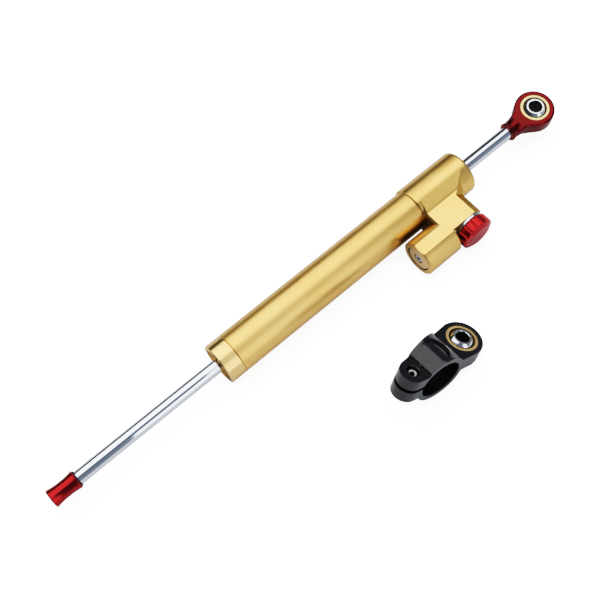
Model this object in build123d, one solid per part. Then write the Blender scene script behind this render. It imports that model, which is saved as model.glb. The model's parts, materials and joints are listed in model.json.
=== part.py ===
from build123d import *
import os
from math import sin, cos, radians, degrees, asin, atan2, hypot, sqrt

# Steering damper: a through-rod hydraulic damper with a side reservoir, a knob for the
# damping rate, a spherical rod end, and a loose frame clamp with its own spherical bearing.
# Millimetres. Origin: centre of the rod end's ball. X runs along the rod towards the rod end,
# Z is up from the surface that it lies on, the reservoir arm points to -Y. The damper lies on its
# head block and its knob, so the head block is rolled a few degrees about the rod, and the eye
# leans by 9 degrees; both are drawn level and rolled at the end.

# ---------------------------------------------------------------- driving dimensions
ROD_R = 4.0            # 8 mm chromed rod
TUBE_R = 12.5          # 25 mm outer tube
TUBE_BORE = 10.5
INNER_RO = 9.0         # inner tube, the piston's cylinder
INNER_RI = 8.0
RUN = 0.04             # radial running clearance

X_CAP_END = -247.0     # outer face of the end cap
X_SEAM = -236.9        # end cap meets outer tube
X_HEAD = -102.5        # left rim of the head block
X_HEAD_END = -62.5     # right face of the head block
HEAD_R = 13.5
ARM_Z = 10.4           # half thickness of the arm
ARM_END_Y = -29.2      # flat end of the arm, the knob's seat
ARM_X = -75.2          # right wall of the arm
ARM_CH = 5.5           # chamfer along the arm's right edges

RES_Y = -26.0          # reservoir axis
RES_R = 11.1
RES_X0 = -121.3
RES_X1 = -96.0
RES_BORE = 8.1
RES_BORE_END = -101.0

KNOB_X = -84.8         # adjuster axis
KNOB_R = 10.7
KNOB_Y0 = -31.15
KNOB_Y1 = -38.95
FLUTES = 16

EYE_R = 12.25          # rod end
EYE_T = 4.6            # half thickness
MILL_R = 15.7          # reach of the faces milled round the eye
RACE_R = 9.0
EYE_ROLL = 9.0         # the rod lies turned in its seals, so the eye leans to -Y
BALL_R = 7.94
BALL_T = 6.0           # half width of the ball
BORE_R = 4.0           # 8 mm bolt
SHANK_X = -22.6

STOP_X0 = -358.9       # end stop
STOP_X1 = -342.5

PISTON_X = -187.5
PISTON_L = 10.0

STEM_R = 2.5           # adjuster stem
CH_X0, CH_X1, CH_R = -88.0, -80.0, 7.0   # oil chamber in the head, a shoulder for the piston

# roll of the head: tangent to its cylinder and to the knob's lower rim
KNOB_RIM_Y = -37.2
ROLL = degrees(asin(HEAD_R / hypot(KNOB_RIM_Y, KNOB_R)) - atan2(KNOB_R, -KNOB_RIM_Y))

# clamp, in its own frame: x towards the bearing boss, z along the bearing's bore
CL_BORE_R = 12.5
CL_RING_R = 15.6
CL_BORE_X = -24.6
CL_BORE_Z = -4.4
CL_BOSS_R = 12.0
CL_BOSS_T = 5.0
CL_BOLT_X = -40.5
CL_EAR_R = 7.6
CL_EAR_UP = 8.1
CL_EAR_DOWN = 8.6
CL_STEP_X = -35.8      # the arch stops here, above the flat top of the ears
CL_GAP = 2.4
CL_RACE_R = 9.35
CL_EDGE_X = CL_BOSS_R - 0.7
# it lies on its ring and on the edge of its boss
CL_TILT = degrees(asin((CL_RING_R) / hypot(CL_EDGE_X - CL_BORE_X, CL_BOSS_T + CL_BORE_Z)) - atan2(CL_BOSS_T + CL_BORE_Z, CL_EDGE_X - CL_BORE_X))
CL_YAW = 1.6
CL_PX, CL_PY = -141.0, -78.9
CL_PZ = -HEAD_R + CL_RING_R + CL_BORE_X * sin(radians(CL_TILT)) - CL_BORE_Z * cos(radians(CL_TILT))


def rev_x(pts, y=0.0, z=0.0):
    """Turned piece about an axis parallel to X; pts are (x, r)."""
    f = make_face(Polyline([(p[0], p[1], 0) for p in pts], close=True))
    return Pos(0, y, z) * revolve(f, Axis.X, 360)


def rev_y(pts, x=0.0, z=0.0):
    f = make_face(Polyline([(p[1], p[0], 0) for p in pts], close=True))
    return Pos(x, 0, z) * revolve(f, Axis.Y, 360)


def rev_z(pts, x=0.0, y=0.0):
    f = make_face(Polyline([(p[1], 0, p[0]) for p in pts], close=True))
    return Pos(x, y, 0) * revolve(f, Axis.Z, 360)


def cyl_x(r, x0, x1, y=0.0, z=0.0):
    return Pos((x0 + x1) / 2, y, z) * Rot(0, 90, 0) * Cylinder(r, abs(x1 - x0))


def cyl_y(r, y0, y1, x=0.0, z=0.0):
    return Pos(x, (y0 + y1) / 2, z) * Rot(90, 0, 0) * Cylinder(r, abs(y1 - y0))


def cyl_z(r, z0, z1, x=0.0, y=0.0):
    return Pos(x, y, (z0 + z1) / 2) * Cylinder(r, abs(z1 - z0))


def ring_x(ri, ro, x0, x1, y=0.0, z=0.0, c=0.0):
    return rev_x([(x0, ri + c), (x0, ro - c), (x0 + c, ro), (x1 - c, ro), (x1, ro - c), (x1, ri + c),
                  (x1 - c, ri), (x0 + c, ri)] if c else [(x0, ri), (x0, ro), (x1, ro), (x1, ri)], y, z)


def box(x0, x1, y0, y1, z0, z1):
    return Pos((x0 + x1) / 2, (y0 + y1) / 2, (z0 + z1) / 2) * Box(abs(x1 - x0), abs(y1 - y0), abs(z1 - z0))


def oring_x(r, a, x, y=0.0, z=0.0):
    return Pos(x, y, z) * Rot(0, 90, 0) * Torus(r, a)


def oring_y(r, a, y, x=0.0, z=0.0):
    return Pos(x, y, z) * Rot(90, 0, 0) * Torus(r, a)


def hexagon_x(af, x0, x1, y=0.0, z=0.0):
    return Pos((x0 + x1) / 2, y, z) * Rot(0, 90, 0) * extrude(RegularPolygon(af / 2, 6, major_radius=False), abs(x1 - x0) / 2, both=True)


def hexagon_z(af, z0, z1, x=0.0, y=0.0):
    return Pos(x, y, (z0 + z1) / 2) * extrude(RegularPolygon(af / 2, 6, major_radius=False), abs(z1 - z0) / 2, both=True)


parts = {}

# ================================================================ tubes
t = rev_x([(X_SEAM, TUBE_BORE), (X_SEAM, TUBE_R - 0.35), (X_SEAM + 0.35, TUBE_R), (-93.0, TUBE_R), (-93.0, TUBE_BORE)])
parts["main_tube"] = t

inner = ring_x(INNER_RI, INNER_RO, -231.0, -88.0)
for k in range(2):
    inner -= Pos(-227.0, 0, 0) * Rot(45 + 90 * k, 0, 0) * Cylinder(1.0, 2 * INNER_RO + 2)
parts["inner_tube"] = inner

# ================================================================ end cap with its bush, seals and wiper
cap = rev_x([
    (X_CAP_END, 10.9), (X_CAP_END, TUBE_R - 0.5), (X_CAP_END + 0.5, TUBE_R),
    (X_SEAM - 0.35, TUBE_R), (X_SEAM, TUBE_R - 0.35), (X_SEAM, TUBE_BORE),
    (-234.6, TUBE_BORE), (-234.6, 9.6), (-232.4, 9.6), (-232.4, TUBE_BORE),
    (-228.9, TUBE_BORE), (-228.9, INNER_RO), (-231.0, INNER_RO), (-231.0, 6.5), (-238.0, 6.5), (-238.0, 6.0),
    (-242.2, 6.0), (-242.2, 4.6), (-243.2, 4.6), (-243.2, 6.0), (-245.3, 6.0), (-245.3, 4.55), (-245.9, 4.55), (-246.0, 4.7),
    (-246.1, 6.2), (-246.7, 7.6), (-246.75, 9.9), (-246.95, 10.2)])
for s in (1, -1):
    cap -= cyl_x(1.15, -248.0, -245.2, -s * 8.6 * 0.93, -s * 8.6 * 0.37)
parts["end_cap"] = cap
parts["cap_oring"] = oring_x(10.05, 0.45, -233.5)
parts["cap_bush"] = ring_x(ROD_R + RUN, 6.5, -238.0, -231.2)
parts["cap_seal"] = rev_x([(-242.2, ROD_R + 0.03), (-242.2, 6.0), (-238.2, 6.0), (-238.2, 5.5), (-239.8, 5.1), (-238.2, 4.7), (-238.2, ROD_R + 0.03)])
parts["cap_wiper"] = rev_x([(-243.2, ROD_R + 0.03), (-243.2, 6.0), (-245.3, 6.0), (-245.3, 4.5), (-245.75, 4.3), (-245.75, ROD_R + 0.03)])

# ================================================================ head block
head = rev_x([(X_HEAD, 0), (X_HEAD, HEAD_R - 0.7), (X_HEAD + 0.13, HEAD_R - 0.38), (X_HEAD + 0.38, HEAD_R - 0.13), (X_HEAD + 0.7, HEAD_R), (X_HEAD_END - 1.6, HEAD_R),
              (X_HEAD_END - 0.75, HEAD_R - 0.25), (X_HEAD_END - 0.2, HEAD_R - 0.85), (X_HEAD_END, HEAD_R - 1.7), (X_HEAD_END, 0)])

# arm: section across X with a fairing plane tangent to the head cylinder, then a flat
TAN_Y = -3.8
TAN_Z = sqrt(HEAD_R ** 2 - TAN_Y ** 2)
SLOPE = -TAN_Y / TAN_Z
FLAT_Y = TAN_Y - (TAN_Z - ARM_Z) / SLOPE
sec = make_face(Polyline([(0, 0, 0),
    (0, TAN_Y, TAN_Z), (0, FLAT_Y + 1.6, ARM_Z + 1.6 * SLOPE), (0, FLAT_Y + 0.5, ARM_Z + 0.30 * SLOPE), (0, FLAT_Y - 0.8, ARM_Z), (0, ARM_END_Y, ARM_Z),
    (0, ARM_END_Y, -ARM_Z), (0, FLAT_Y - 0.8, -ARM_Z), (0, FLAT_Y + 0.5, -ARM_Z - 0.30 * SLOPE), (0, FLAT_Y + 1.6, -ARM_Z - 1.6 * SLOPE), (0, TAN_Y, -TAN_Z)], close=True))
arm = extrude(sec, amount=36.5, dir=(1, 0, 0))
arm = Pos(X_HEAD, 0, 0) * arm

# right side of the arm: wall, chamfers, and a flared root that runs out on the head cylinder
big = 60.0
FLARE = 0.55          # the root's own slope from the vertical


def half(p, n):
    """Large block on the side of the plane through p that n points to."""
    pl = Plane(origin=p, z_dir=n)
    return pl * Pos(0, 0, big / 2) * Box(2 * big, 2 * big, big)


top_x = ARM_X - ARM_CH
wall = half((ARM_X, 0, 0), (1, 0, 0))
ch_t = half((top_x, 0, ARM_Z), (1, 0, 1))
ch_b = half((top_x, 0, -ARM_Z), (1, 0, -1))
flare_p = (top_x, -13.9, ARM_Z)
fl_t = half(flare_p, (0.52, -0.856, FLARE))
fl_b = half((top_x, -13.9, -ARM_Z), (0.52, -0.856, -FLARE))
fl_v = half((top_x + 0.52 * FLARE * ARM_CH, -13.9 - 0.856 * FLARE * ARM_CH, 0), (0.52, -0.856, 0))
upper = box(-110, -50, -60, 30, 0, 40)
lower = box(-110, -50, -60, 30, -40, 0)
cut_u = ((wall + ch_t) & (fl_t + fl_v)) & upper
cut_l = ((wall + ch_b) & (fl_b + fl_v)) & lower
arm = arm - cut_u - cut_l
# slot end: chamfered top and bottom edges on the left wall
arm = arm - half((X_HEAD, 0, ARM_Z - 1.1), (-1, 0, 1)) - half((X_HEAD, 0, -ARM_Z + 1.1), (-1, 0, -1))

# reservoir: cylinder with the arm's flats, chamfered right end
res = rev_x([(RES_X0, 0), (RES_X0, RES_R - 0.5), (RES_X0 + 0.5, RES_R), (RES_X1 - 2.0, RES_R), (RES_X1, RES_R - 2.0), (RES_X1, 0)], RES_Y)
res = res & box(RES_X0 - 1, RES_X1 + 1, RES_Y - 20, RES_Y + 20, -ARM_Z, ARM_Z)

block = head + arm + res
# scoop beside the knob
block -= cyl_z(4.6, -30, 30, -93.2, -34.0) & box(-110, -80, -60, ARM_END_Y, -30, 30)

# bores along X
block -= cyl_x(TUBE_R, X_HEAD - 1, -93.0)
block -= cyl_x(10.8, -93.0, -91.0)
block -= cyl_x(INNER_RO, -91.5, CH_X0)
block -= cyl_x(CH_R, -88.5, CH_X1)
block -= cyl_x(6.5, -80.0, -73.0)
block -= cyl_x(4.6, -74.0, -71.0)
block -= cyl_x(6.5, -72.0, X_HEAD_END + 1)
block -= cyl_x(7.2, -67.3, -66.1)
# O-ring groove around the tube
block -= ring_x(TUBE_R - 0.1, 13.05, -97.5, -95.7)
# reservoir bore, groove of its retaining ring
block -= cyl_x(RES_BORE, RES_X0 - 1, RES_BORE_END, RES_Y)
block -= cyl_x(8.7, -120.9, -119.8, RES_Y)
# valve: seat hole, chamber, gland pocket, passages
block -= cyl_y(1.5, -14.6, -6.0, KNOB_X)
block -= cyl_y(3.0, -23.1, -14.5, KNOB_X)
block -= box(KNOB_X - 0.45, KNOB_X + 0.45, -23.1, -19.6, 0, 3.7)
block -= cyl_y(6.0, ARM_END_Y - 1, -23.0, KNOB_X)
block -= cyl_x(1.2, RES_BORE_END - 1, KNOB_X, -19.5)
block -= cyl_y(0.9, -19.2, -9.5, -92.0)
parts["head_block"] = block

parts["tube_oring"] = oring_x(12.78, 0.27, -96.6)
parts["head_bush"] = ring_x(ROD_R + RUN, 6.5, -79.8, -73.0)
parts["head_seal"] = rev_x([(-67.5, ROD_R + 0.03), (-67.5, 6.5), (-72.0, 6.5), (-72.0, 5.8), (-70.3, 5.3), (-72.0, 4.8), (-72.0, ROD_R + 0.03)])
clip = ring_x(5.3, 7.1, -67.2, -66.2) - box(-68, -65, -9, -4, -1.5, 1.5)
parts["head_circlip"] = clip
parts["head_wiper"] = rev_x([(-66.1, ROD_R + 0.03), (-66.1, 6.5), (-62.9, 6.5), (-62.9, 5.6), (-62.3, 4.4), (-62.3, ROD_R + 0.03)])

# ================================================================ reservoir
plug = rev_x([(-120.95, 3.3), (-120.95, 7.25), (-120.75, 7.45), (-119.8, 7.45), (-119.8, RES_BORE), (-118.7, RES_BORE), (-118.7, 6.9),
              (-116.9, 6.9), (-116.9, RES_BORE), (-115.5, RES_BORE), (-115.5, 1.5), (-118.5, 1.5), (-118.5, 3.3)], RES_Y)
parts["reservoir_plug"] = plug
ring = ring_x(7.5, 8.65, -120.8, -119.8, RES_Y)
ring -= box(-121.5, -119, RES_Y - 1.2, RES_Y + 1.2, -9.5, -6.5)
parts["reservoir_circlip"] = ring
parts["plug_oring"] = oring_x(7.5, 0.58, -117.8, RES_Y)
screw = rev_x([(-120.7, 0), (-120.7, 2.45), (-120.45, 2.7), (-118.5, 2.7), (-118.5, 1.5), (-115.2, 1.5), (-115.0, 1.3), (-115.0, 0)], RES_Y)
screw -= hexagon_x(2.5, -122.0, -119.3, RES_Y)
parts["bleed_screw"] = screw
comp = rev_x([(-111.5, 0), (-111.5, 7.6), (-111.05, RES_BORE - 0.05), (-109.6, RES_BORE - 0.05), (-109.6, 6.7), (-107.6, 6.7), (-107.6, RES_BORE - 0.05),
              (-105.95, RES_BORE - 0.05), (-105.5, 7.6), (-105.5, 4.5), (-108.0, 4.5), (-108.0, 0)], RES_Y)
parts["compensator_piston"] = comp
parts["compensator_oring"] = oring_x(7.36, 0.64, -108.6, RES_Y)

# ================================================================ adjuster
gland = rev_y([(-23.0, 3.65), (-23.0, 6.0), (-25.2, 6.0), (-25.2, 5.2), (-26.8, 5.2), (-26.8, 6.0), (ARM_END_Y, 6.0),
               (ARM_END_Y, STEM_R + RUN), (-27.9, STEM_R + RUN), (-27.9, 3.95), (-26.3, 3.95), (-26.3, STEM_R + RUN), (-24.4, STEM_R + RUN), (-24.4, 3.65)], KNOB_X)
parts["adjuster_gland"] = gland
parts["gland_oring"] = oring_y(5.62, 0.38, -26.0, KNOB_X)
parts["stem_oring"] = oring_y(3.26, 0.68, -27.1, KNOB_X)
stem = rev_y([(-19.0, 0), (-19.0, 1.2), (-19.3, 1.5), (-23.2, 1.5), (-23.2, 3.6), (-24.3, 3.6), (-24.3, STEM_R), (-37.0, STEM_R), (-37.0, 0)], KNOB_X)
parts["adjuster_stem"] = stem
needle = rev_y([(-13.6, 0), (-13.6, 0.4), (-16.2, 1.95), (-20.6, 1.95), (-20.8, 2.94), (-22.2, 2.94), (-22.2, 1.56), (-18.4, 1.56), (-18.4, 0)], KNOB_X)
needle += box(KNOB_X - 0.4, KNOB_X + 0.4, -22.2, -20.8, 2.5, 3.6)
parts["needle_valve"] = needle

plate = rev_y([(ARM_END_Y, 2.6), (ARM_END_Y, 10.0), (-30.6, 10.0), (-31.0, 9.6), (-31.0, 2.6)], KNOB_X)
for k in range(12):
    a = radians(15 + 30 * k)
    plate -= Pos(KNOB_X + 7.0 * cos(a), -31.35, 7.0 * sin(a)) * Sphere(0.9)
parts["detent_plate"] = plate

knob = rev_y([(KNOB_Y0, 2.5), (KNOB_Y0, KNOB_R - 0.7), (KNOB_Y0 - 0.7, KNOB_R), (KNOB_RIM_Y, KNOB_R), (KNOB_RIM_Y - 0.3, KNOB_R - 0.2),
              (KNOB_RIM_Y - 0.5, KNOB_R - 0.5), (KNOB_Y1 + 0.1, 7.7), (KNOB_Y1, 7.3), (KNOB_Y1, 0), (-37.0, 0), (-37.0, 2.5)], KNOB_X)
for k in range(FLUTES):
    a = radians(360 / FLUTES * (k + 0.5))
    knob -= cyl_y(0.75, KNOB_Y0 + 1, KNOB_Y1 - 1, KNOB_X + (KNOB_R + 0.15) * cos(a), (KNOB_R + 0.15) * sin(a))
knob -= cyl_y(1.08, KNOB_Y0 + 1, -35.6, KNOB_X + 7.0, 0)
knob -= cyl_z(1.5, -KNOB_R - 1, -2.0, KNOB_X, -34.4)
knob -= cyl_y(2.5, KNOB_Y0 + 1, -37.0, KNOB_X)
parts["adjuster_knob"] = knob
grub = cyl_z(1.5, -8.6, -2.5, KNOB_X, -34.4) - hexagon_z(1.5, -9.5, -7.2, KNOB_X, -34.4)
parts["knob_grub_screw"] = grub
parts["detent_ball"] = Pos(KNOB_X + 7.0, -32.05, 0) * Sphere(1.0)
coil = Helix(pitch=0.5, height=2.2, radius=0.78)
wire = Plane(origin=coil @ 0, z_dir=coil % 0) * Circle(0.13)
spring = sweep(wire, path=coil)
parts["detent_spring"] = Pos(KNOB_X + 7.0, -33.22, 0) * Rot(90, 0, 0) * spring

# ================================================================ rod with its piston
PX0, PX1 = PISTON_X - PISTON_L / 2, PISTON_X + PISTON_L / 2
rod = rev_x([(-355.0, 0), (-355.0, 2.6), (-354.6, 3.0), (-343.5, 3.0), (-343.5, ROD_R),
             (PX0 - 1.13, ROD_R), (PX0 - 1.13, 3.6), (PX0 - 0.03, 3.6), (PX0 - 0.03, ROD_R),
             (PX1 + 0.03, ROD_R), (PX1 + 0.03, 3.6), (PX1 + 1.13, 3.6), (PX1 + 1.13, ROD_R),
             (SHANK_X, ROD_R), (SHANK_X, 3.0), (-12.0, 3.0), (-11.6, 2.6), (-11.6, 0)])
parts["piston_rod"] = rod
PB = ROD_R + RUN
piston = rev_x([(PX0, PB), (PX0, 7.4), (PX0 + 0.5, 7.88), (PX0 + 2.5, 7.88), (PX0 + 2.5, 7.0), (PX1 - 2.5, 7.0), (PX1 - 2.5, 7.88), (PX1 - 0.5, 7.88),
                (PX1, 7.4), (PX1, PB), (PX1 - 3.9, PB), (PX1 - 3.9, 5.3), (PX1 - 6.1, 5.3), (PX1 - 6.1, PB)])
parts["piston"] = piston
parts["piston_band"] = ring_x(7.0, INNER_RI - RUN, PX0 + 2.55, PX1 - 2.55)
parts["piston_oring"] = oring_x(4.66, 0.62, PISTON_X)
c1 = ring_x(3.6, 5.4, PX0 - 1.08, PX0 - 0.03) - box(PX0 - 2, PX0 + 1, -1.2, 1.2, 3, 6)
c2 = ring_x(3.6, 5.4, PX1 + 0.03, PX1 + 1.08) - box(PX1 - 1, PX1 + 2, -1.2, 1.2, 3, 6)
parts["piston_clips"] = Compound(children=[c1, c2])

# ================================================================ end stop
SL = STOP_X1 - STOP_X0
waist = [(STOP_X0 + SL * k / 16, 4.72 + 0.80 * abs(2 * k / 16 - 1) ** 2.2) for k in range(1, 16)]
stop = rev_x([(STOP_X0, 0), (STOP_X0, 5.05), (STOP_X0 + 0.2, 5.35), (STOP_X0 + 0.5, 5.45)] + waist +
             [(STOP_X1 - 0.5, 5.45), (STOP_X1 - 0.2, 5.35), (STOP_X1, 5.05), (STOP_X1, ROD_R), (-343.5, ROD_R), (-343.5, 3.0), (-355.3, 3.0), (-355.3, 0)])
parts["end_stop"] = stop
parts["bump_ring"] = ring_x(ROD_R, 4.6, STOP_X1, STOP_X1 + 0.7, c=0.15)

# ================================================================ rod end
LEAVE = radians(122)      # where the neck's sides leave the eye's circle
lx, ly = EYE_R * cos(LEAVE), EYE_R * sin(LEAVE)
sides = [Spline((lx, k * ly, 0), (-13.6, k * 6.1, 0), (-18.5, k * 5.6, 0), tangents=[(-sin(LEAVE), k * cos(LEAVE), 0), (-1, 0, 0)]) for k in (1, -1)]
rim = ThreePointArc((lx, -ly, 0), (EYE_R, 0, 0), (lx, ly, 0))
outer = make_face([rim, sides[0], Line((-18.5, 5.6, 0), (-18.5, -5.6, 0)), sides[1]])
slab = Pos(0, 0, -EYE_T) * extrude(outer, amount=2 * EYE_T, dir=(0, 0, 1))
long_edges = [e for e in slab.edges() if abs(abs(e.center().Z) - EYE_T) < 0.01 and e.center().X > -18.0]
slab = fillet(long_edges, 1.4)
# round neck that flares into the slab, with a collar at its end
run = Spline((-19.0, 5.63, 0), (-16.5, 5.86, 0), (-14.0, 6.6, 0), (-11.5, 8.3, 0), (-9.0, 11.0, 0), (-7.5, 13.5, 0))
flared = revolve(make_face([run, Line((-7.5, 13.5, 0), (14.0, 13.5, 0)), Line((14.0, 13.5, 0), (14.0, 0, 0)), Line((14.0, 0, 0), (-19.0, 0, 0)), Line((-19.0, 0, 0), (-19.0, 5.63, 0))]), Axis.X, 360)
neck = rev_x([(SHANK_X, 0), (SHANK_X, 5.3), (SHANK_X + 0.2, 5.7), (SHANK_X + 0.5, 5.9), (SHANK_X + 1.2, 5.9), (SHANK_X + 1.6, 5.7), (-20.4, 5.55), (-18.5, 5.6),
              (-16.5, 5.75), (-14.5, 6.0), (-12.0, 6.4), (-9.5, 6.6), (-9.5, 0)])
housing = (slab & flared) + neck
# both faces are milled round the eye
for k in (1, -1):
    housing -= cyl_z(MILL_R, min(k * EYE_T, k * 12.0), max(k * EYE_T, k * 12.0))
housing -= cyl_z(RACE_R, -20, 20)
housing -= cyl_x(3.0, SHANK_X - 1, -11.6)
parts["rod_end_housing"] = housing


def bearing(outer):
    race_blank = rev_z([(-EYE_T, 0), (-EYE_T, outer - 0.25), (-EYE_T + 0.25, outer), (EYE_T - 0.25, outer), (EYE_T, outer - 0.25), (EYE_T, 0)])
    race = race_blank - Sphere(BALL_R + 0.05) - cyl_z(outer - 1.9, EYE_T - 0.8, 10) - cyl_z(outer - 1.9, -10, -EYE_T + 0.8)
    ball = Sphere(BALL_R) & cyl_z(BALL_R + 1, -BALL_T, BALL_T)
    ball -= cyl_z(BORE_R, -10, 10)
    ball -= rev_z([(BALL_T - 0.3, BORE_R), (BALL_T + 0.1, BORE_R), (BALL_T + 0.1, BORE_R + 0.4)]) + rev_z([(-BALL_T + 0.3, BORE_R), (-BALL_T - 0.1, BORE_R), (-BALL_T - 0.1, BORE_R + 0.4)])
    return race, ball


race, ball = bearing(RACE_R)
parts["rod_end_race"] = race
parts["rod_end_ball"] = ball

# ================================================================ clamp, built in its own frame
d = -CL_BOLT_X


def link(r0, r1, z0, z1):
    """Plate with round ends around the bearing and the bolt."""
    c = (r0 - r1) / d
    s = sqrt(1 - c * c)
    f = make_face(Polyline([(-c * r0, s * r0, 0), (CL_BOLT_X - c * r1, s * r1, 0), (CL_BOLT_X - c * r1, -s * r1, 0), (-c * r0, -s * r0, 0)], close=True))
    b = Pos(0, 0, z0) * extrude(f, amount=z1 - z0, dir=(0, 0, 1))
    return b + cyl_z(r0, z0, z1) + cyl_z(r1, z0, z1, CL_BOLT_X)


outline = link(CL_BOSS_R, CL_EAR_R, -40, 40)
boss = rev_z([(-CL_BOSS_T, 0), (-CL_BOSS_T, CL_BOSS_R - 0.7), (-CL_BOSS_T + 0.7, CL_BOSS_R), (CL_BOSS_T - 0.5, CL_BOSS_R), (CL_BOSS_T, CL_BOSS_R - 0.5), (CL_BOSS_T, 0)])
# side shape: plate of the boss, ring around the tube, ears
ring_c = cyl_y(CL_RING_R, -20, 20, CL_BORE_X, CL_BORE_Z) - box(CL_BORE_X - 20, CL_STEP_X, -21, 21, CL_BORE_Z + CL_EAR_UP, 40)
plate_b = box(CL_BORE_X, 0, -20, 20, -CL_BOSS_T, CL_BOSS_T)
ears = box(CL_BOLT_X - 20, CL_BORE_X, -20, 20, CL_BORE_Z - CL_EAR_DOWN, CL_BORE_Z + CL_EAR_UP)
body = ((ring_c + plate_b + ears) & outline) + boss
body -= cyl_y(CL_BORE_R, -30, 30, CL_BORE_X, CL_BORE_Z)
# split from the bore through the ears
body -= box(CL_BOLT_X - 20, CL_BORE_X, -20, 20, CL_BORE_Z - CL_GAP / 2, CL_BORE_Z + CL_GAP / 2)
# round pocket on the crown, its floor concentric with the bore
body -= cyl_z(7.9, 0, 40, -25.4) - cyl_y(CL_RING_R - 1.5, -20, 20, CL_BORE_X, CL_BORE_Z)
# counterbore of the clamp bolt and its hole
cb_z = CL_BORE_Z + CL_EAR_UP - 4.8
body -= cyl_z(3.75, cb_z, 40, CL_BOLT_X)
body -= cyl_z(2.15, -40, 40, CL_BOLT_X)
# seat of the bearing race, a lip keeps it from below
body -= cyl_z(CL_RACE_R, -EYE_T, 20)
body -= cyl_z(CL_RACE_R - 1.4, -20, 20)
bolt = rev_z([(cb_z, 0), (cb_z, 3.5), (cb_z + 2.5, 3.5), (cb_z + 2.8, 3.2), (cb_z + 2.8, 0)], CL_BOLT_X)
bolt += cyl_z(1.95, CL_BORE_Z - 7.8, cb_z, CL_BOLT_X)
bolt -= hexagon_z(2.5, cb_z + 1.1, cb_z + 6, CL_BOLT_X)
bolt -= rev_z([(cb_z + 2.2, 0), (cb_z + 2.2, 1.3), (cb_z + 2.9, 2.0), (cb_z + 2.9, 0)], CL_BOLT_X)
place = Pos(CL_PX, CL_PY, CL_PZ) * Rot(0, 0, CL_YAW) * Rot(0, CL_TILT, 0)
c_race, c_ball = bearing(CL_RACE_R)
parts["clamp_body"] = place * body
parts["clamp_race"] = place * c_race
parts["clamp_ball"] = place * c_ball
parts["clamp_bolt"] = place * bolt

# ---------------------------------------------------------------- roll of the head and all it holds
LEVEL = ("piston_rod", "piston", "piston_band", "piston_oring", "piston_clips", "rod_end_housing", "rod_end_race", "rod_end_ball",
         "end_stop", "bump_ring", "clamp_body", "clamp_race", "clamp_ball", "clamp_bolt")
for name in parts:
    if name not in LEVEL:
        parts[name] = Rot(ROLL, 0, 0) * parts[name]
for name in ("rod_end_housing", "rod_end_race", "rod_end_ball"):
    parts[name] = Rot(EYE_ROLL, 0, 0) * parts[name]
print("roll", round(ROLL, 4), "clamp tilt", round(CL_TILT, 4), "clamp bearing centre", (CL_PX, CL_PY, round(CL_PZ, 4)))

# ---------------------------------------------------------------- files
os.makedirs("parts", exist_ok=True)
for name, shape in parts.items():
    export_step(shape, "parts/" + name + ".step")
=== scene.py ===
import json
import math

import bmesh
import bpy
from mathutils import Matrix, Vector


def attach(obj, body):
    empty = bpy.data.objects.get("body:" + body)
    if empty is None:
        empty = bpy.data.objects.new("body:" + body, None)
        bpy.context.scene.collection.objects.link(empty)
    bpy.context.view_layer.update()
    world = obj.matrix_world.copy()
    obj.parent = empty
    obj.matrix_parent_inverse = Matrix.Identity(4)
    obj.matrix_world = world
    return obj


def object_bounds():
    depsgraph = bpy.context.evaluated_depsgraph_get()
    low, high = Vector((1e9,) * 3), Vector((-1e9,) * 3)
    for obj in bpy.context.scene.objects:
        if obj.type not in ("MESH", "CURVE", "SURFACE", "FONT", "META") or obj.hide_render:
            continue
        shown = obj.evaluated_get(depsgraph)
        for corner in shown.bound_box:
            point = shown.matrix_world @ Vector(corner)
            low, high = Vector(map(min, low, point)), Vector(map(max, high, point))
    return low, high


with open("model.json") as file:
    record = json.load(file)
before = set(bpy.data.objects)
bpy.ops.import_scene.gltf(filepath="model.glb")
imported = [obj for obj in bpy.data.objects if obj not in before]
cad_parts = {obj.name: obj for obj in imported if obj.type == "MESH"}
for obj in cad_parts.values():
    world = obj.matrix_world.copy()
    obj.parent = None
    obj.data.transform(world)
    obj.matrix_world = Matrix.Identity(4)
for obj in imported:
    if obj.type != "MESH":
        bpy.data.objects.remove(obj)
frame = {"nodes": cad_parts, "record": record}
cad_box = [[float(c) for c in corner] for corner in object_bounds()]
nodes = frame["nodes"]

ROLL = math.radians(4.3646)          # the head lies rolled on its knob
TUBE_R = 0.0125


def rolled(x, y, z):
    """A point of the level drawing of the barrel, in the frame it lies in."""
    c, s = math.cos(ROLL), math.sin(ROLL)
    return Vector((x, y * c - z * s, y * s + z * c))


# ------------------------------------------------------------------ camera
ROT = Matrix.Rotation(ROLL, 3, 'X')
RIGHT = ROT @ Vector((0.758527, -0.649197, -0.056394))
UP = ROT @ Vector((0.610653, 0.677940, 0.409267))
BACK = ROT @ Vector((-0.227463, -0.344877, 0.910670))
PLACE = ROT @ Vector((-0.30637, -0.17964, 0.47359))
cam = bpy.data.cameras.new("camera")
cam.sensor_width = 36.0
cam.lens = 55.284
cam.clip_start = 0.01
cam.clip_end = 50.0
cam_ob = bpy.data.objects.new("camera", cam)
bpy.context.collection.objects.link(cam_ob)
m = Matrix.Identity(4)
for i in range(3):
    m[i][0], m[i][1], m[i][2], m[i][3] = RIGHT[i], UP[i], BACK[i], PLACE[i]
cam_ob.matrix_world = m
scene = bpy.context.scene
scene.camera = cam_ob
scene.view_settings.view_transform = 'Standard'
scene.view_settings.look = 'None'
scene.view_settings.exposure = 0.0
scene.view_settings.gamma = 1.0
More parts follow.
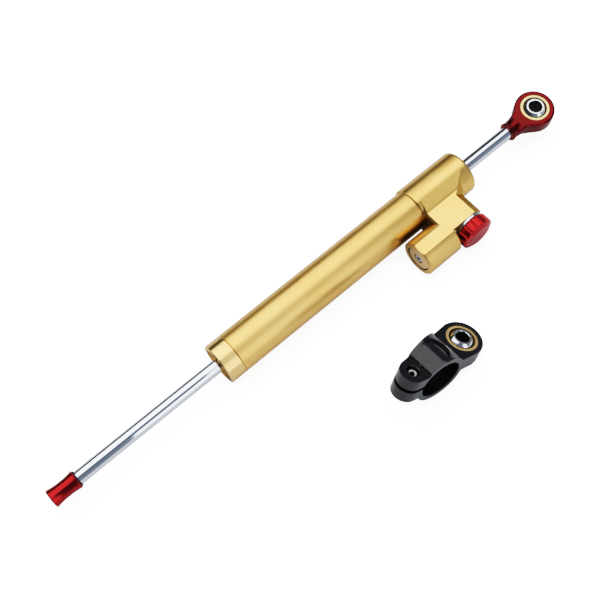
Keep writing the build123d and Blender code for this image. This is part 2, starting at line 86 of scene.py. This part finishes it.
# a camera's tone curve: a toe in the shade and a long shoulder up to white
WHITE = 2.0
scene.view_settings.use_curve_mapping = True
mapping = scene.view_settings.curve_mapping
mapping.white_level = (WHITE, WHITE, WHITE)
curve = mapping.curves[3]
for x, y in ((0.05, 0.028), (0.10, 0.073), (0.15, 0.130), (0.212, 0.200), (0.30, 0.300), (0.40, 0.412), (0.565, 0.553),
             (0.78, 0.685), (1.05, 0.805), (1.38, 0.905), (1.70, 0.965)):
    curve.points.new(x / WHITE, y)
mapping.update()


# ------------------------------------------------------------------ node helpers
class Tree:
    """A few short calls for one node tree."""

    def __init__(self, tree):
        self.t = tree
        self.n = tree.nodes
        self.l = tree.links

    def add(self, kind, **props):
        node = self.n.new(kind)
        for k, v in props.items():
            setattr(node, k, v)
        return node

    def link(self, a, b):
        self.l.new(a, b)

    def math(self, op, a, b=None, c=None, clamp=False):
        node = self.add("ShaderNodeMath", operation=op, use_clamp=clamp)
        for i, v in enumerate((a, b, c)):
            if v is None:
                continue
            if isinstance(v, (int, float)):
                node.inputs[i].default_value = v
            else:
                self.link(v, node.inputs[i])
        return node.outputs[0]

    def coords(self):
        """Object coordinates in millimetres."""
        tc = self.add("ShaderNodeTexCoord")
        sc = self.add("ShaderNodeVectorMath", operation='SCALE')
        sc.inputs["Scale"].default_value = 1000.0
        self.link(tc.outputs["Object"], sc.inputs[0])
        return sc.outputs[0]

    def mapped(self, vec, scale=(1, 1, 1), loc=(0, 0, 0), rot=(0, 0, 0)):
        mp = self.add("ShaderNodeMapping")
        mp.inputs["Scale"].default_value = scale
        mp.inputs["Location"].default_value = loc
        mp.inputs["Rotation"].default_value = rot
        self.link(vec, mp.inputs["Vector"])
        return mp.outputs[0]

    def noise(self, vec, scale, detail=3.0, rough=0.55, dist=0.0):
        nz = self.add("ShaderNodeTexNoise")
        nz.inputs["Scale"].default_value = scale
        nz.inputs["Detail"].default_value = detail
        nz.inputs["Roughness"].default_value = rough
        nz.inputs["Distortion"].default_value = dist
        self.link(vec, nz.inputs["Vector"])
        return nz.outputs["Fac"]

    def ramp(self, fac, stops, interp='LINEAR'):
        r = self.add("ShaderNodeValToRGB")
        r.color_ramp.interpolation = interp
        e = r.color_ramp.elements
        while len(e) > 1:
            e.remove(e[-1])
        e[0].position, e[0].color = stops[0][0], (*stops[0][1], 1)
        for p, c in stops[1:]:
            x = e.new(p)
            x.color = (*c, 1)
        self.link(fac, r.inputs["Fac"])
        return r.outputs["Color"]

    def remap(self, fac, a, b, c, d):
        r = self.add("ShaderNodeMapRange")
        r.inputs["From Min"].default_value, r.inputs["From Max"].default_value = a, b
        r.inputs["To Min"].default_value, r.inputs["To Max"].default_value = c, d
        self.link(fac, r.inputs["Value"])
        return r.outputs[0]

    def mix(self, fac, a, b):
        x = self.add("ShaderNodeMix", data_type='RGBA')
        if isinstance(fac, (int, float)):
            x.inputs[0].default_value = fac
        else:
            self.link(fac, x.inputs[0])
        for v, s in ((a, x.inputs[6]), (b, x.inputs[7])):
            if isinstance(v, tuple):
                s.default_value = (*v, 1)
            else:
                self.link(v, s)
        return x.outputs[2]


def edge_normal(t, radius):
    """Rounds sharp edges in the shading and gives a mask of where they are."""
    bv = t.add("ShaderNodeBevel", samples=6)
    bv.inputs["Radius"].default_value = radius
    geo = t.add("ShaderNodeNewGeometry")
    dot = t.add("ShaderNodeVectorMath", operation='DOT_PRODUCT')
    t.link(bv.outputs[0], dot.inputs[0])
    t.link(geo.outputs["Normal"], dot.inputs[1])
    mask = t.remap(dot.outputs["Value"], 0.995, 0.86, 0.0, 1.0)
    return bv.outputs[0], mask


def new_mat(name):
    mt = bpy.data.materials.new(name)
    mt.use_nodes = True
    t = Tree(mt.node_tree)
    b = mt.node_tree.nodes["Principled BSDF"]
    return mt, t, b


def bump(t, b, height, strength, distance, normal=None):
    bp = t.add("ShaderNodeBump")
    bp.inputs["Strength"].default_value = strength
    bp.inputs["Distance"].default_value = distance
    t.link(height, bp.inputs["Height"])
    if normal is not None:
        t.link(normal, bp.inputs["Normal"])
    t.link(bp.outputs[0], b.inputs["Normal"])


def radial(t, vec, axis, centre):
    """Distance from an axis parallel to X (or along the rolled Y), in millimetres."""
    mp = t.add("ShaderNodeVectorMath", operation='SUBTRACT')
    t.link(vec, mp.inputs[0])
    mp.inputs[1].default_value = centre
    pr = t.add("ShaderNodeVectorMath", operation='DOT_PRODUCT')
    t.link(mp.outputs[0], pr.inputs[0])
    pr.inputs[1].default_value = axis
    ln = t.add("ShaderNodeVectorMath", operation='LENGTH')
    t.link(mp.outputs[0], ln.inputs[0])
    l2 = t.math('MULTIPLY', ln.outputs["Value"], ln.outputs["Value"])
    p2 = t.math('MULTIPLY', pr.outputs["Value"], pr.outputs["Value"])
    return t.math('SQRT', t.math('MAXIMUM', t.math('SUBTRACT', l2, p2), 0.0)), pr.outputs["Value"]


def anodised(name, deep, base, pale, rough, coat, rings=None, bead=0.35, edge=0.35, edge_r=0.00022, metallic=1.0, spec=0.5, edge_wear_glint_col=None, coat_rough=0.12, coat_ior=1.5, end_face_shade=None, glance=None, crevice_shade=0.0, shaded_faces=None):
    """Anodised aluminium: dyed oxide over metal, fine blasted or turned grain, thinner on its edges and painted paler
    there, partly for the thin oxide and partly as a painted highlight.
    """
    mt, t, b = new_mat(name)
    v = t.coords()
    big = t.noise(v, 0.045, 3.0, 0.5)
    mid = t.noise(v, 0.55, 4.0, 0.6)
    fine = t.noise(v, 6.0, 2.0, 0.6)
    tone = t.math('ADD', t.math('MULTIPLY', big, 0.65), t.math('MULTIPLY', mid, 0.35))
    col = t.ramp(tone, [(0.30, deep), (0.52, base), (0.74, pale)])
    nrm, mask = edge_normal(t, edge_r)
    # paler colour painted on the edges: partly wear of the thin oxide, partly painted highlight
    edge_wear_and_glint = t.math('MULTIPLY', mask, t.remap(mid, 0.3, 0.7, edge * 0.5, edge))
    col = t.mix(edge_wear_and_glint, col, edge_wear_glint_col or pale)
    b.inputs["Coat Weight"].default_value = coat
    if crevice_shade:
        # painted shade: where two walls come close, ambient occlusion darkens the colour towards a deep brown
        ao = t.add("ShaderNodeAmbientOcclusion", samples=8)
        ao.inputs["Distance"].default_value = 0.009
        col = t.mix(t.remap(ao.outputs["AO"], 0.85, 0.40, 0.0, crevice_shade), col, (0.32, 0.195, 0.065))
    if glance:
        b.inputs["Specular Tint"].default_value = (*glance, 1)
    if shaded_faces:
        # painted shade: faces of the head, known by their normals, are painted a darker brown with a darker glancing
        # tint, standing for the dark they reflect; they also carry less of the sealed gloss
        geo = t.add("ShaderNodeNewGeometry")
        face_shade = None
        for n in shaded_faces[0]:
            dot = t.add("ShaderNodeVectorMath", operation='DOT_PRODUCT')
            t.link(geo.outputs["True Normal"], dot.inputs[0])
            dot.inputs[1].default_value = n
            one = t.remap(dot.outputs["Value"], 0.970, 0.985, 0.0, shaded_faces[2])
            face_shade = one if face_shade is None else t.math('MAXIMUM', face_shade, one)
        col = t.mix(face_shade, col, t.mix(edge_wear_and_glint, shaded_faces[1], edge_wear_glint_col or pale))
        t.link(t.math('MULTIPLY', t.math('SUBTRACT', 1.0, t.math('MULTIPLY', face_shade, 0.85)), coat), b.inputs["Coat Weight"])
        t.link(t.mix(face_shade, glance or (1.0, 1.0, 1.0), shaded_faces[3]), b.inputs["Specular Tint"])
    if end_face_shade:
        # painted shade: the turned end of the cap is painted a darker brown with a darker glancing tint, standing for
        # the dark it reflects, and it is not sealed to a gloss
        xyz = t.add("ShaderNodeSeparateXYZ")
        t.link(v, xyz.inputs[0])
        rad, along = radial(t, v, (1, 0, 0), (0, 0, 0))
        inner = t.math('MULTIPLY', t.remap(xyz.outputs["X"], end_face_shade[0] + 0.08, end_face_shade[0] - 0.08, 0.0, end_face_shade[2]), t.remap(rad, 11.0, 10.85, 0.0, 1.0))
        col = t.mix(inner, col, end_face_shade[1])
        t.link(t.math('MULTIPLY', t.math('SUBTRACT', 1.0, inner), coat), b.inputs["Coat Weight"])
        t.link(t.mix(inner, glance or (1.0, 1.0, 1.0), end_face_shade[3]), b.inputs["Specular Tint"])
    t.link(col, b.inputs["Base Color"])
    b.inputs["Metallic"].default_value = metallic
    b.inputs["Coat Roughness"].default_value = coat_rough
    b.inputs["Coat IOR"].default_value = coat_ior
    b.inputs["Specular IOR Level"].default_value = spec
    r0 = t.remap(t.math('ADD', t.math('MULTIPLY', big, 0.5), t.math('MULTIPLY', fine, 0.5)), 0.3, 0.7, rough * 0.86, rough * 1.14)
    t.link(r0, b.inputs["Roughness"])
    h = t.math('MULTIPLY', fine, bead)
    if rings:
        axis, centre, pitch, amount = rings
        rad, along = radial(t, v, axis, centre)
        w = t.math('ADD', t.math('SINE', t.math('MULTIPLY', rad, 6.2832 / pitch)),
                   t.math('SINE', t.math('MULTIPLY', along, 6.2832 / (pitch * 1.13))))
        # turned grooves are not all of one depth
        lanes = t.add("ShaderNodeCombineXYZ")
        t.link(rad, lanes.inputs[0])
        t.link(along, lanes.inputs[1])
        depth = t.noise(lanes.outputs[0], 2.3, 3.0, 0.7)
        h = t.math('ADD', h, t.math('MULTIPLY', t.math('ADD', t.math('MULTIPLY', w, 0.25), depth), amount))
    bump(t, b, h, 0.35, 0.00002, nrm)
    return mt


def metal(name, base, pale, rough, edge_r=0.00015, grain=None, streak=0.0, bead=0.2, scale=3.0, bore_shade=None, glint_band=None):
    """Bare or plated metal with faint tone changes and a fine grain. A bore entry (centre, axis, radius, colour) paints
    a dark, dull colour within that radius: painted shade in the bore. A band entry (centre, axis, inner, outer, colour)
    paints a band in that colour: on the bolt a painted highlight.
    """
    mt, t, b = new_mat(name)
    v = t.coords()
    big = t.noise(v, 0.12, 3.0, 0.5)
    fine = t.noise(t.mapped(v, grain or (1, 1, 1)), scale, 3.0, 0.6)
    tone = t.math('ADD', t.math('MULTIPLY', big, 0.6), t.math('MULTIPLY', fine, 0.4))
    nrm, mask = edge_normal(t, edge_r)
    col = t.ramp(tone, [(0.34, base), (0.66, pale)])
    r = t.remap(fine, 0.3, 0.7, rough * 0.75, rough * 1.25 + streak)
    if bore_shade:
        rad, along = radial(t, v, bore_shade[1], bore_shade[0])
        # painted shade: within the bore's radius the colour is painted dark and dull
        bore_shade_mask = t.remap(rad, bore_shade[2] + 0.06, bore_shade[2] - 0.06, 0.0, 1.0)
        col = t.mix(bore_shade_mask, col, bore_shade[3])
        r = t.math('ADD', t.math('MULTIPLY', r, t.math('SUBTRACT', 1.0, bore_shade_mask)), t.math('MULTIPLY', bore_shade_mask, t.remap(fine, 0.3, 0.7, 0.42, 0.62)))
    if glint_band:
        rad, along = radial(t, v, glint_band[1], glint_band[0])
        # painted highlight: a band between two radii painted in the given colour
        band = t.math('MULTIPLY', t.remap(rad, glint_band[2] - 0.05, glint_band[2] + 0.05, 0.0, 1.0), t.remap(rad, glint_band[3] + 0.12, glint_band[3] - 0.12, 0.0, 1.0))
        col = t.mix(band, col, glint_band[4])
        r = t.math('ADD', r, t.math('MULTIPLY', band, 0.15))
    t.link(col, b.inputs["Base Color"])
    b.inputs["Metallic"].default_value = 1.0
    t.link(r, b.inputs["Roughness"])
    bump(t, b, t.math('MULTIPLY', fine, bead), 0.25, 0.00001, nrm)
    return mt


def soft(name, base, pale, rough, spec=0.4, grain=4.0, bumpy=0.5):
    """Rubber and polymer: dull, with a moulded skin."""
    mt, t, b = new_mat(name)
    v = t.coords()
    big = t.noise(v, 0.3, 3.0, 0.6)
    fine = t.noise(v, grain, 4.0, 0.65)
    col = t.ramp(t.math('ADD', t.math('MULTIPLY', big, 0.5), t.math('MULTIPLY', fine, 0.5)), [(0.35, base), (0.7, pale)])
    t.link(col, b.inputs["Base Color"])
    b.inputs["Specular IOR Level"].default_value = spec
    t.link(t.remap(fine, 0.3, 0.7, rough * 0.85, min(1.0, rough * 1.15)), b.inputs["Roughness"])
    nrm, mask = edge_normal(t, 0.0001)
    bump(t, b, fine, bumpy, 0.00003, nrm)
    return mt


# ------------------------------------------------------------------ materials
RES = tuple(c * 1000 for c in rolled(-0.121, -0.026, 0.0))
KNOB = tuple(c * 1000 for c in rolled(-0.0848, -0.034, 0.0))
YAX = tuple(rolled(0.0, 1.0, 0.0))
EYE_AXIS = (0.0, -math.sin(math.radians(9.0)), math.cos(math.radians(9.0)))
mounts = {q["name"]: q for q in frame["record"]["mounts"]}
CLAMP = tuple(c * 1000 for c in mounts["clamp_bearing_bore"]["pos_m"])
CLAMP_AXIS = tuple(mounts["clamp_bearing_bore"]["axis"])

GOLD_DEEP, GOLD, GOLD_PALE = (0.84, 0.490, 0.115), (0.89, 0.550, 0.150), (0.93, 0.605, 0.190)
# pale colour painted on the gold's edges: partly wear, partly painted highlight
GOLD_EDGE_WEAR_GLINT = (0.97, 0.80, 0.45)
GLANCE = (0.88, 0.70, 0.42)      # the metal's tint at a glancing angle
MATS = {}
# normals of the head's faces that are painted darker: painted shade
SHADED_FACE_NORMALS = [rolled(0.7071, 0.0, 0.7071), rolled(0.7071, 0.0, -0.7071), rolled(0.4553, -0.7495, 0.4816), rolled(0.4553, -0.7495, -0.4816)]
MATS["gold_satin"] = anodised("gold_satin", GOLD_DEEP, GOLD, GOLD_PALE, 0.31, 1.0, bead=0.6, edge=0.8, edge_wear_glint_col=GOLD_EDGE_WEAR_GLINT, coat_rough=0.20, coat_ior=1.65, glance=GLANCE, crevice_shade=0.8, shaded_faces=(SHADED_FACE_NORMALS, (0.56, 0.34, 0.085), 0.9, (0.60, 0.46, 0.24)))
MATS["gold_tube"] = anodised("gold_tube", GOLD_DEEP, GOLD, GOLD_PALE, 0.36, 1.0, rings=((1, 0, 0), (0, 0, 0), 0.36, 0.12), bead=0.35, edge=0.7, edge_wear_glint_col=GOLD_EDGE_WEAR_GLINT, coat_rough=0.24, coat_ior=1.65, glance=GLANCE, crevice_shade=0.6)
# painted shade: the cap's turned end is painted a darker brown
MATS["gold_cap"] = anodised("gold_cap", (0.88, 0.56, 0.18), (0.92, 0.61, 0.22), (0.95, 0.67, 0.27), 0.24, 1.0, rings=((1, 0, 0), (0, 0, 0), 0.30, 0.30), bead=0.15, edge=0.8, edge_wear_glint_col=(0.98, 0.86, 0.54), coat_rough=0.15, coat_ior=1.7, glance=GLANCE, end_face_shade=(-245.95, (0.60, 0.37, 0.13), 0.85, (0.62, 0.42, 0.20)))
MATS["gold_plug"] = anodised("gold_plug", (0.86, 0.57, 0.19), (0.90, 0.62, 0.23), (0.94, 0.68, 0.28), 0.34, 1.0, rings=((1, 0, 0), RES, 0.34, 0.30), bead=0.3, edge=0.7, edge_wear_glint_col=(0.95, 0.78, 0.42), coat_rough=0.20, coat_ior=1.6)
# painted shade: the eye's red is set darker than the knob's and the stop's, standing for the dark its flat top reflects
MATS["red_eye"] = anodised("red_eye", (0.140, 0.0022, 0.0032), (0.175, 0.003, 0.0045), (0.225, 0.006, 0.0085), 0.23, 0.3, bead=0.45, edge=0.35, edge_wear_glint_col=(0.60, 0.06, 0.06))
MATS["red_knob"] = anodised("red_knob", (0.44, 0.012, 0.014), (0.52, 0.016, 0.019), (0.60, 0.025, 0.028), 0.34, 0.3, rings=(YAX, KNOB, 0.36, 0.22), bead=0.35, edge=0.5, edge_wear_glint_col=(0.66, 0.12, 0.11))
MATS["red_stop"] = anodised("red_stop", (0.35, 0.009, 0.012), (0.43, 0.013, 0.016), (0.51, 0.020, 0.024), 0.19, 0.3, rings=((1, 0, 0), (0, 0, 0), 0.30, 0.25), bead=0.15, edge=0.5, edge_wear_glint_col=(0.66, 0.12, 0.10))
MATS["black_anodised"] = anodised("black_anodised", (0.006, 0.006, 0.007), (0.009, 0.009, 0.011), (0.013, 0.013, 0.016), 0.17, 0.5, bead=0.35, edge=0.9, edge_r=0.0003, metallic=0.0, spec=0.55, edge_wear_glint_col=(0.10, 0.10, 0.115))
MATS["chrome"] = metal("chrome", (0.78, 0.81, 0.86), (0.84, 0.865, 0.905), 0.045, grain=(0.35, 3, 3), bead=0.05, scale=1.2)
MATS["polished_steel"] = metal("polished_steel", (0.70, 0.70, 0.70), (0.80, 0.80, 0.80), 0.09, bead=0.12, scale=2.0)
MATS["bright_steel"] = metal("bright_steel", (0.66, 0.67, 0.69), (0.78, 0.79, 0.81), 0.22, bead=0.3, scale=4.0)
MATS["steel"] = metal("steel", (0.42, 0.42, 0.43), (0.54, 0.54, 0.55), 0.28, grain=(0.2, 4, 4), bead=0.3, scale=2.5)
MATS["spring_steel"] = metal("spring_steel", (0.020, 0.020, 0.022), (0.045, 0.045, 0.050), 0.38, bead=0.5, scale=4.0)
# dark colour painted within the bores of the balls: painted shade
BORE_SHADE_COL = (0.030, 0.028, 0.028)
MATS["ball_eye"] = metal("ball_eye", (0.70, 0.70, 0.70), (0.80, 0.80, 0.80), 0.09, bead=0.12, scale=2.0, bore_shade=((0, 0, 0), EYE_AXIS, 4.05, BORE_SHADE_COL))
MATS["ball_clamp"] = metal("ball_clamp", (0.70, 0.70, 0.70), (0.80, 0.80, 0.80), 0.09, bead=0.12, scale=2.0, bore_shade=(CLAMP, CLAMP_AXIS, 4.05, BORE_SHADE_COL))
# the races are painted dark brown within their bores: painted shade in the gap next to the ball
MATS["race_eye"] = metal("race_eye", (0.76, 0.58, 0.26), (0.86, 0.70, 0.37), 0.34, bead=0.35, scale=4.0, bore_shade=((0, 0, 0), EYE_AXIS, 7.2, (0.10, 0.07, 0.03)))
MATS["race_clamp"] = metal("race_clamp", (0.86, 0.60, 0.25), (0.94, 0.72, 0.36), 0.52, bead=0.35, scale=4.0, bore_shade=(CLAMP, CLAMP_AXIS, 7.5, (0.10, 0.07, 0.03)))
MATS["brass"] = metal("brass", (0.66, 0.50, 0.22), (0.80, 0.66, 0.36), 0.24, grain=(1, 1, 1), bead=0.35, scale=4.0)
MATS["plain_aluminium"] = metal("plain_aluminium", (0.66, 0.66, 0.67), (0.80, 0.80, 0.81), 0.32, bead=0.4, scale=4.0)
MATS["rubber"] = soft("rubber", (0.012, 0.012, 0.012), (0.028, 0.028, 0.028), 0.62)
MATS["seal_polymer"] = soft("seal_polymer", (0.03, 0.11, 0.20), (0.05, 0.17, 0.28), 0.45, bumpy=0.2)
MATS["band_polymer"] = soft("band_polymer", (0.16, 0.07, 0.03), (0.26, 0.12, 0.05), 0.6)

# the bolt is blackened; the chamfer of its socket is painted bright: a painted highlight
box8 = [nodes["clamp_bolt"].matrix_world @ Vector(c) for c in nodes["clamp_bolt"].bound_box]
BOLT = tuple(sum((c for c in box8), Vector()) * (1000.0 / 8.0))
MATS["bolt_black"] = metal("bolt_black", (0.030, 0.030, 0.032), (0.050, 0.050, 0.054), 0.30, bead=0.3, scale=4.0, glint_band=(BOLT, CLAMP_AXIS, 1.30, 2.30, (0.86, 0.86, 0.86)))
BY_NODE = {
    "main_tube": "gold_tube", "end_cap": "gold_cap", "head_block": "gold_satin", "reservoir_plug": "gold_plug",
    "rod_end_housing": "red_eye", "adjuster_knob": "red_knob", "end_stop": "red_stop",
    "rod_end_ball": "ball_eye", "clamp_ball": "ball_clamp", "rod_end_race": "race_eye", "clamp_race": "race_clamp", "clamp_bolt": "bolt_black",
}
slot_of = {s["node"]: s["material_slot"] for s in frame["record"]["subparts"]}
for name, ob in nodes.items():
    mt = MATS[BY_NODE.get(name, slot_of[name] if slot_of[name] in MATS else "plain_aluminium")]
    for sl in ob.material_slots:
        sl.material = mt


# ------------------------------------------------------------------ added detail
def mesh_ob(name, bm, mat, body):
    me = bpy.data.meshes.new(name)
    bm.to_mesh(me)
    bm.free()
    ob = bpy.data.objects.new(name, me)
    bpy.context.collection.objects.link(ob)
    me.materials.append(mat)
    for p in me.polygons:
        p.use_smooth = True
    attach(ob, body)
    return ob


# index marks printed on the knob's cone
MATS["white_print"] = soft("white_print", (0.62, 0.60, 0.58), (0.80, 0.79, 0.77), 0.55, grain=9.0, bumpy=0.3)
bm = bmesh.new()
R0, Y0, R1, Y1 = 8.35, -38.551, 9.35, -38.091      # the cone along one mark, millimetres
sl = math.hypot(R1 - R0, Y1 - Y0)
out = Vector((-(Y1 - Y0) / sl, -(R1 - R0) / sl))    # across the cone, outward: radius, then Y
for k in range(5):
    a = math.radians(138.0 + 11.0 * k)
    verts = []
    for h in (-0.02, 0.03):
        for r, y, w in ((R0, Y0, -0.13), (R0, Y0, 0.13), (R1, Y1, 0.13), (R1, Y1, -0.13)):
            r2, y2 = r + abs(out[0]) * h, y - abs(out[1]) * h
            x, z = r2 * math.cos(a) - w * math.sin(a), r2 * math.sin(a) + w * math.cos(a)
            verts.append(bm.verts.new(rolled((-84.8 + x) / 1000, y2 / 1000, z / 1000)))
    for f in ((0, 1, 2, 3), (7, 6, 5, 4), (0, 4, 5, 1), (1, 5, 6, 2), (2, 6, 7, 3), (3, 7, 4, 0)):
        bm.faces.new([verts[i] for i in f])
bmesh.ops.recalc_face_normals(bm, faces=bm.faces)
marks = mesh_ob("knob_marks", bm, MATS["white_print"], "knob")
for q in marks.data.polygons:
    q.use_smooth = False


# ------------------------------------------------------------------ floor and light
def plane(name, size, z, mat):
    bm = bmesh.new()
    bmesh.ops.create_grid(bm, x_segments=8, y_segments=8, size=size)
    for v in bm.verts:
        v.co.z = z
        v.co.x -= 0.17
    me = bpy.data.meshes.new(name)
    bm.to_mesh(me)
    bm.free()
    ob = bpy.data.objects.new(name, me)
    bpy.context.collection.objects.link(ob)
    me.materials.append(mat)
    return ob


fm, t, b = new_mat("floor")
v = t.coords()
g = t.noise(v, 0.02, 3.0, 0.5)
t.link(t.ramp(g, [(0.3, (0.90, 0.905, 0.915)), (0.7, (0.92, 0.925, 0.935))]), b.inputs["Base Color"])
b.inputs["Roughness"].default_value = 0.85
b.inputs["Specular IOR Level"].default_value = 0.2
lp = t.add("ShaderNodeLightPath")
b.inputs["Emission Color"].default_value = (1.0, 1.0, 1.0, 1.0)
t.link(t.math('ADD', t.math('MULTIPLY', lp.outputs["Is Camera Ray"], 1.36), 0.02), b.inputs["Emission Strength"])
plane("floor", 6.0, min(cad_box[0][2], cad_box[1][2]), fm)

CENTRE = Vector((-0.17, -0.03, 0.0))


def softbox(name, angle, lean, dist, size_x, size_y, radiance, tint=(1, 1, 1), off=(0.0, 0.0)):
    """A soft box seen from the damper at an angle about its axis: 0 is +Y, 90 is overhead, 180 is -Y. lean tips it along X, off slides it in its own plane."""
    a, e = math.radians(angle), math.radians(lean)
    d = Vector((math.sin(e), math.cos(a) * math.cos(e), math.sin(a) * math.cos(e)))
    li = bpy.data.lights.new(name, 'AREA')
    li.shape = 'RECTANGLE'
    li.size, li.size_y = size_x, size_y
    li.energy = radiance * math.pi * size_x * size_y
    li.color = tint
    ob = bpy.data.objects.new(name, li)
    bpy.context.collection.objects.link(ob)
    z = d
    x = Vector((1, 0, 0)) - z * z.x
    x.normalize()
    y = z.cross(x)
    mm = Matrix.Identity(4)
    p = CENTRE + d * dist + x * off[0] + y * off[1]
    for i in range(3):
        mm[i][0], mm[i][1], mm[i][2], mm[i][3] = x[i], y[i], z[i], p[i]
    ob.matrix_world = mm
    return ob


softbox("key", 66.5, 8.0, 1.5, 2.6, 1.25, 1.50, (1.0, 0.995, 0.985), off=(0.0, -0.405))
softbox("key_far", 66.5, 8.0, 1.5, 1.86, 0.84, 1.50, (1.0, 0.995, 0.985), off=(-0.37, 0.64))
softbox("gap", 117.0, 11.0, 1.5, 0.44, 0.80, 0.95)
softbox("front", 156.5, 9.2, 1.5, 0.76, 1.30, 1.30)

w = bpy.data.worlds.new("studio")
scene.world = w
w.use_nodes = True
t = Tree(w.node_tree)
bg = w.node_tree.nodes["Background"]
lp = t.add("ShaderNodeLightPath")
tc = t.add("ShaderNodeTexCoord")
sp = t.add("ShaderNodeSeparateXYZ")
t.link(tc.outputs["Generated"], sp.inputs[0])
high = t.ramp(sp.outputs["Z"], [(0.0, (0.03, 0.03, 0.032)), (0.35, (0.045, 0.046, 0.05)), (0.75, (0.18, 0.195, 0.225)), (1.0, (0.26, 0.27, 0.30))])
side = t.math('ADD', t.math('MULTIPLY', sp.outputs["Y"], -1.0), t.math('MULTIPLY', sp.outputs["X"], 0.5))
low = t.ramp(sp.outputs["Z"], [(0.0, (0.26, 0.285, 0.33)), (0.25, (0.25, 0.275, 0.325)), (0.8, (0.165, 0.195, 0.250)), (1.0, (0.165, 0.195, 0.250))])
room = t.mix(t.remap(side, -0.25, 0.35, 0.0, 1.0), high, low)
t.link(t.mix(lp.outputs["Is Camera Ray"], room, (2.0, 2.0, 2.0)), bg.inputs["Color"])
bg.inputs["Strength"].default_value = 1.0
